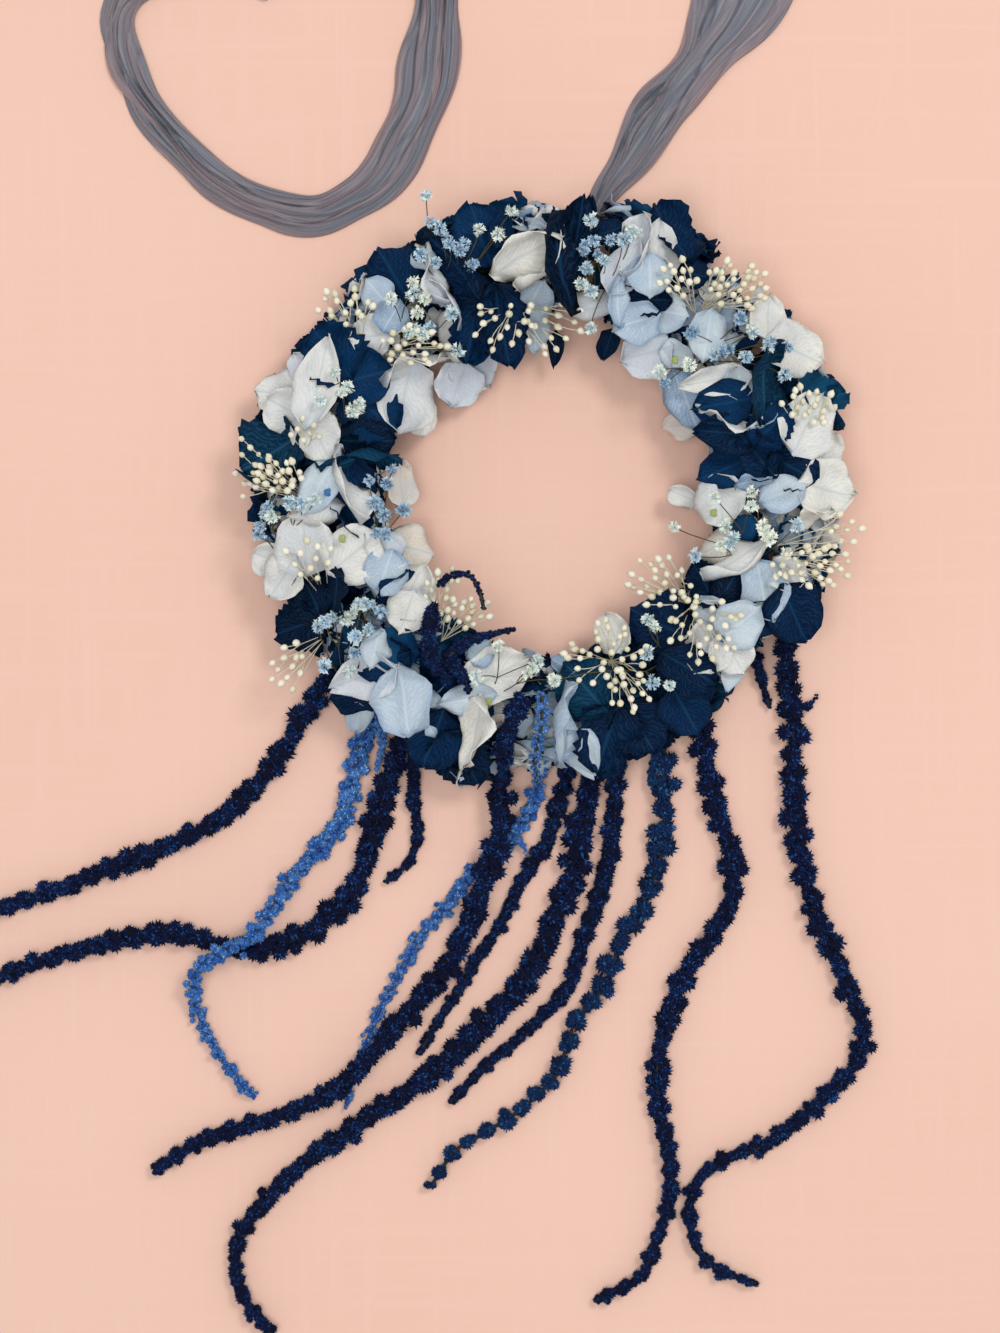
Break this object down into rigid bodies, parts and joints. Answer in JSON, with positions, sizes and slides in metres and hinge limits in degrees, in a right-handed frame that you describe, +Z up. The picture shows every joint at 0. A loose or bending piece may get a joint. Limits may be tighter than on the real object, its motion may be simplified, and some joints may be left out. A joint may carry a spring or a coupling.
{
  "type": "flower crown",
  "caption": "Round floral hair wreath: taped wire hoop with preserved hydrangea, bud and baby's-breath sprays, hanging amaranth strands and a long silk ribbon.",
  "frame": {"origin": "centre of the wire hoop, on the surface that the crown lies on", "axes": "+Z up out of that surface, which is upwards when worn; +Y from the hoop's centre towards the ribbon tie; the amaranth strands hang at -Y; +X to the right seen from above with the ribbon at the top"},
  "size_m": [0.4275, 0.6624, 0.049],
  "materials": {
    "amaranth_light_blue": "velvety preserved blossom, matt",
    "amaranth_navy": "velvety preserved blossom, matt",
    "amaranth_teal": "velvety preserved blossom, matt",
    "ball_buds": "dry cream buds on ivory stems, matt",
    "breath_florets": "tinted dried florets on olive stems, matt",
    "floral_tape": "waxed crepe paper floral tape over flattened stems, satin",
    "paper_wire": "matt paper-covered floral wire",
    "petals_navy": "preserved petal, dyed, matt with fine veins",
    "petals_pale_blue": "preserved petal, dyed, papery, slightly translucent",
    "petals_teal": "preserved petal, dyed, matt with fine veins",
    "petals_white": "bleached preserved petal, papery, translucent",
    "silk_ribbon": "semi-sheer hand-dyed silk, gathered, soft sheen"
  },
  "bodies": {
    "root": {"amaranth_tuft_front": "amaranth_navy", "amaranth_tuft_front_left": "amaranth_navy", "base_wire": "paper_wire", "breath_spray_back_left": "breath_florets", "breath_spray_back_right": "breath_florets", "breath_spray_front": "breath_florets", "breath_spray_front_left": "breath_florets", "breath_spray_left_inner": "breath_florets", "breath_spray_right": "breath_florets", "breath_spray_right_back": "breath_florets", "bud_spray_back": "ball_buds", "bud_spray_front": "ball_buds", "bud_spray_front_left_edge": "ball_buds", "bud_spray_front_left_inner": "ball_buds", "bud_spray_front_right": "ball_buds", "bud_spray_left": "ball_buds", "bud_spray_left_back": "ball_buds", "bud_spray_left_low": "ball_buds", "bud_spray_right": "ball_buds", "bud_spray_right_back": "ball_buds", "hydrangea_navy_back": "petals_navy", "hydrangea_navy_front": "petals_navy", "hydrangea_navy_front_edge": "petals_navy", "hydrangea_navy_front_left": "petals_navy", "hydrangea_navy_front_right": "petals_navy", "hydrangea_navy_left_back": "petals_navy", "hydrangea_navy_left_high": "petals_navy", "hydrangea_navy_left_low": "petals_navy", "hydrangea_navy_right_back": "petals_navy", "hydrangea_navy_right_low": "petals_navy", "hydrangea_pale_front": "petals_pale_blue", "hydrangea_pale_right_back": "petals_pale_blue", "hydrangea_speckled_front_left": "petals_pale_blue", "hydrangea_teal_left": "petals_teal", "hydrangea_teal_right_high": "petals_teal", "hydrangea_white_back": "petals_white", "hydrangea_white_front": "petals_white", "hydrangea_white_front_right": "petals_white", "hydrangea_white_left": "petals_white", "hydrangea_white_left_back": "petals_white", "hydrangea_white_left_low": "petals_white", "hydrangea_white_right": "petals_white", "hydrangea_white_right_high": "petals_white", "ribbon_knot": "silk_ribbon", "ribbon_tail_left": "silk_ribbon", "ribbon_tail_right": "silk_ribbon", "stem_tape": "floral_tape"},
    "strands_left": {"amaranth_strand_left": "amaranth_navy"},
    "strands_left_front": {"amaranth_strand_left_front": "amaranth_navy", "amaranth_strand_left_front_loop": "amaranth_navy", "amaranth_strand_light_blue_left": "amaranth_light_blue"},
    "strands_front": {"amaranth_strand_front_left": "amaranth_navy", "amaranth_strand_light_blue_front": "amaranth_light_blue", "amaranth_strand_front_inner": "amaranth_navy", "amaranth_strand_front_long": "amaranth_navy", "amaranth_strand_front_outer": "amaranth_navy"},
    "strands_front_right": {"amaranth_strand_teal": "amaranth_teal", "amaranth_strand_right_front": "amaranth_navy"},
    "strands_right": {"amaranth_strand_right": "amaranth_navy", "amaranth_strand_right_short": "amaranth_navy"}
  },
  "joints": [
    {"name": "left_droop", "type": "hinge", "parent": "root", "child": "strands_left", "pos_m": [-0.08955, -0.08063, 0.005], "axis": [1, 0, 0], "range_deg": [-30, 90]},
    {"name": "left_front_droop", "type": "hinge", "parent": "root", "child": "strands_left_front", "pos_m": [-0.06481, -0.0998, 0.005], "axis": [1, 0, 0], "range_deg": [-30, 90]},
    {"name": "front_droop", "type": "hinge", "parent": "root", "child": "strands_front", "pos_m": [-0.01085, -0.12403, 0.005], "axis": [1, 0, 0], "range_deg": [-30, 90]},
    {"name": "front_right_droop", "type": "hinge", "parent": "root", "child": "strands_front_right", "pos_m": [0.05217, -0.10696, 0.005], "axis": [1, 0, 0], "range_deg": [-30, 90]},
    {"name": "right_droop", "type": "hinge", "parent": "root", "child": "strands_right", "pos_m": [0.09385, -0.06818, 0.005], "axis": [1, 0, 0], "range_deg": [-30, 90]}
  ]
}
